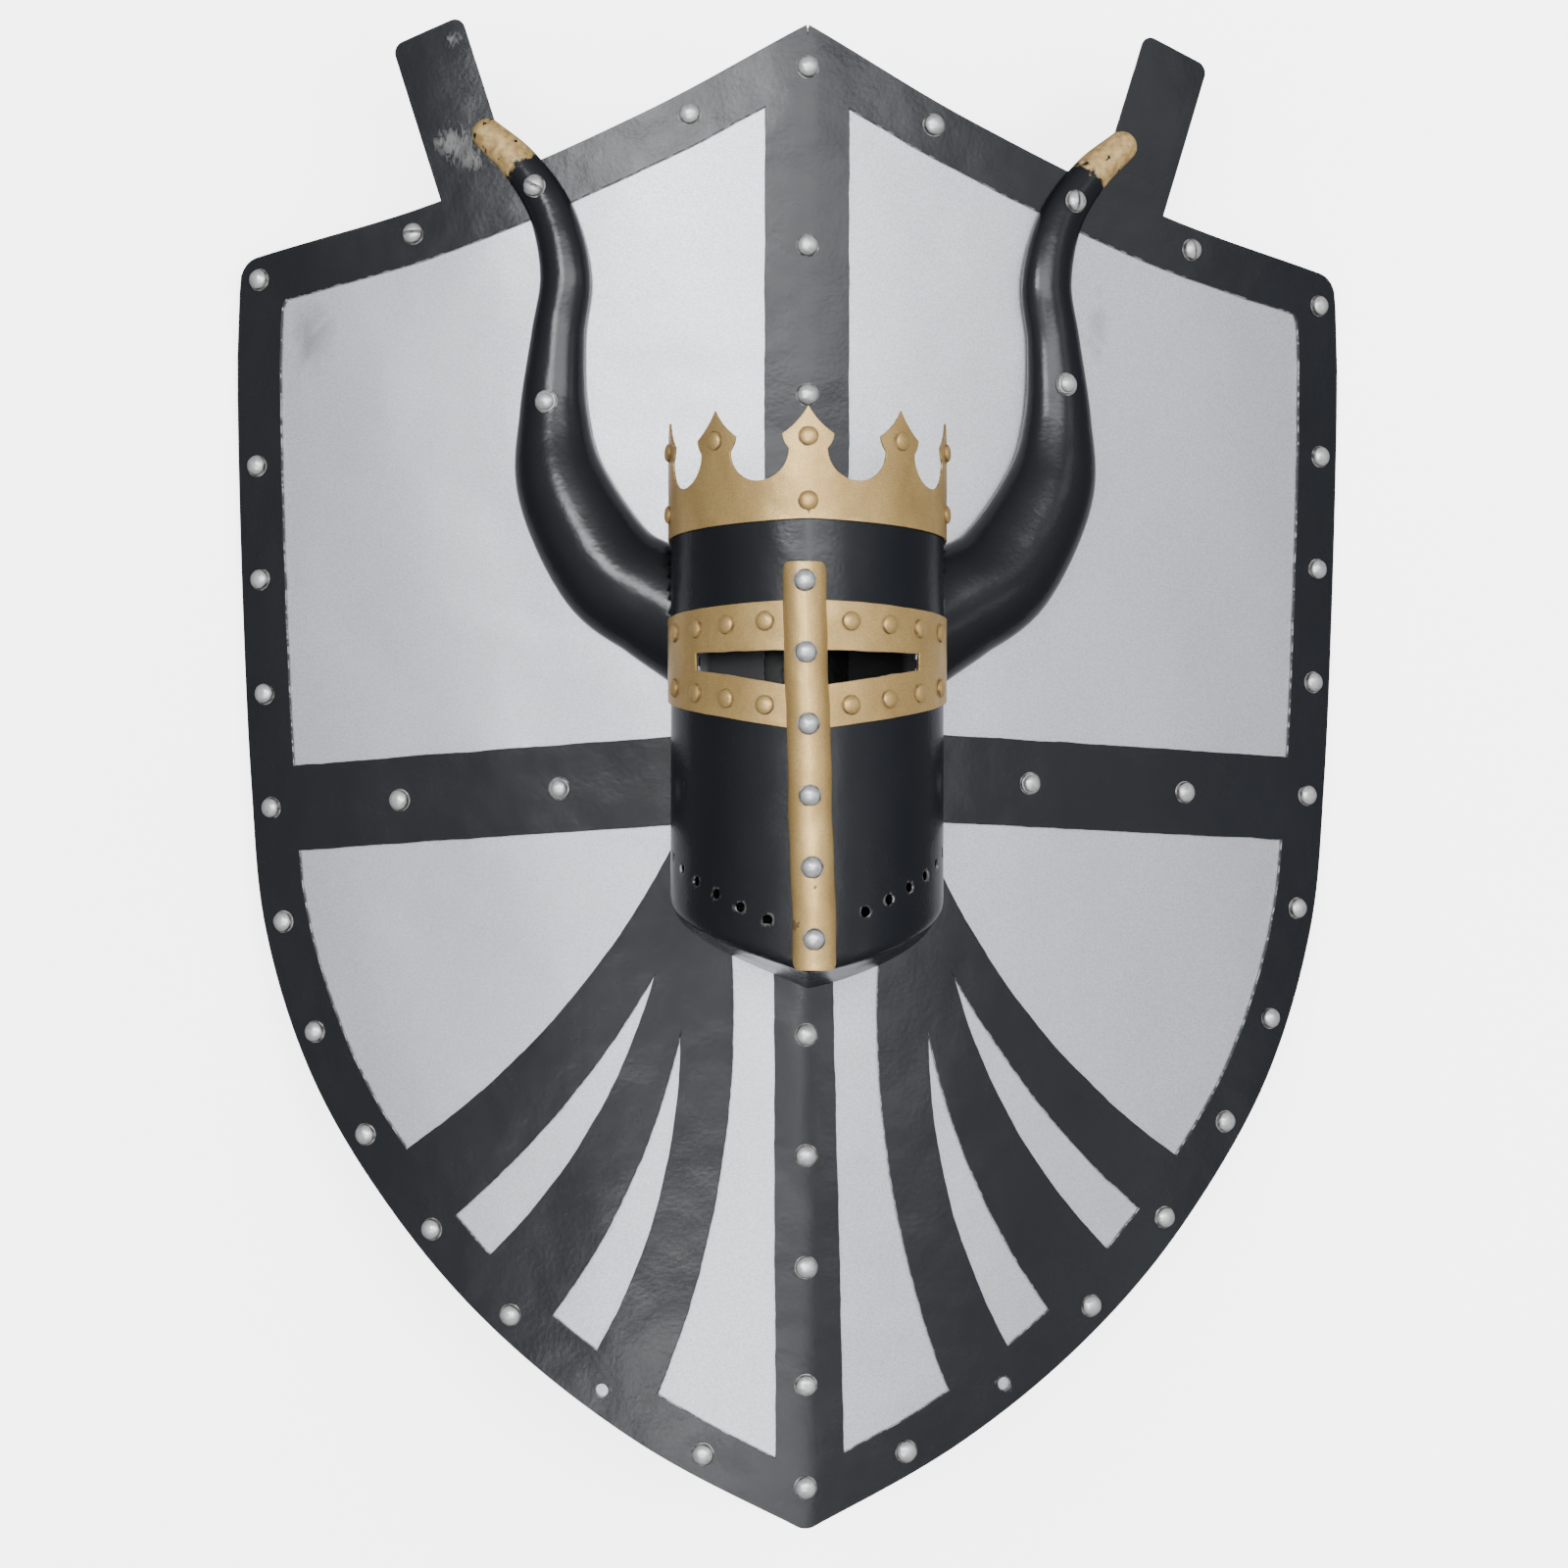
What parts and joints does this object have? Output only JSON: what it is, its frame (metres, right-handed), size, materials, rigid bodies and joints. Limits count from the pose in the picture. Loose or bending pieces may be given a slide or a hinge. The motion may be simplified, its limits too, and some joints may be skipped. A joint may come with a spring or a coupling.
{
  "type": "knight shield",
  "caption": "Heater-shaped wall shield of riveted painted sheet steel: a cut-out black frame on a bent silver sheet, with a crowned half helm and horns on its front.",
  "frame": {"origin": "middle of the foot of the part's box, on the surface that the shield lies on", "axes": "+X to the shield's right as seen from its front, +Y to its peak, +Z out of its front"},
  "size_m": [0.5564, 0.722, 0.1959],
  "materials": {
    "silver_paint": "satin silver paint with a fine speckle",
    "black_paint": "gloss black paint with orange peel, bare metal at worn edges",
    "gold_paint": "satin gold paint, chipped in places",
    "rivet_steel": "plain domed steel rivets, some with a slot"
  },
  "bodies": {
    "root": {"back_sheet": "silver_paint", "crown": "gold_paint", "front_frame": "black_paint", "helm": "black_paint", "horn_left": "black_paint", "horn_right": "black_paint", "nose_bar": "gold_paint", "nose_rivet_1": "rivet_steel", "nose_rivet_2": "rivet_steel", "nose_rivet_3": "rivet_steel", "nose_rivet_4": "rivet_steel", "nose_rivet_5": "rivet_steel", "nose_rivet_6": "rivet_steel", "rivet_centre_1": "rivet_steel", "rivet_centre_2": "rivet_steel", "rivet_centre_3": "rivet_steel", "rivet_centre_4": "rivet_steel", "rivet_centre_5": "rivet_steel", "rivet_centre_6": "rivet_steel", "rivet_cross_left_1": "rivet_steel", "rivet_cross_left_2": "rivet_steel", "rivet_cross_right_1": "rivet_steel", "rivet_cross_right_2": "rivet_steel", "rivet_edge_left_01": "rivet_steel", "rivet_edge_left_03": "rivet_steel", "rivet_edge_left_04": "rivet_steel", "rivet_edge_left_05": "rivet_steel", "rivet_edge_left_06": "rivet_steel", "rivet_edge_left_07": "rivet_steel", "rivet_edge_left_08": "rivet_steel", "rivet_edge_left_09": "rivet_steel", "rivet_edge_left_10": "rivet_steel", "rivet_edge_left_11": "rivet_steel", "rivet_edge_left_12": "rivet_steel", "rivet_edge_right_01": "rivet_steel", "rivet_edge_right_03": "rivet_steel", "rivet_edge_right_04": "rivet_steel", "rivet_edge_right_05": "rivet_steel", "rivet_edge_right_06": "rivet_steel", "rivet_edge_right_07": "rivet_steel", "rivet_edge_right_08": "rivet_steel", "rivet_edge_right_09": "rivet_steel", "rivet_edge_right_10": "rivet_steel", "rivet_edge_right_11": "rivet_steel", "rivet_edge_right_12": "rivet_steel", "rivet_horn_left_1": "rivet_steel", "rivet_horn_left_2": "rivet_steel", "rivet_horn_right_1": "rivet_steel", "rivet_horn_right_2": "rivet_steel", "rivet_peak": "rivet_steel", "rivet_tip": "rivet_steel", "rivet_top_left_1": "rivet_steel", "rivet_top_left_2": "rivet_steel", "rivet_top_right_1": "rivet_steel", "rivet_top_right_2": "rivet_steel", "visor_band": "gold_paint"}
  },
  "joints": []
}
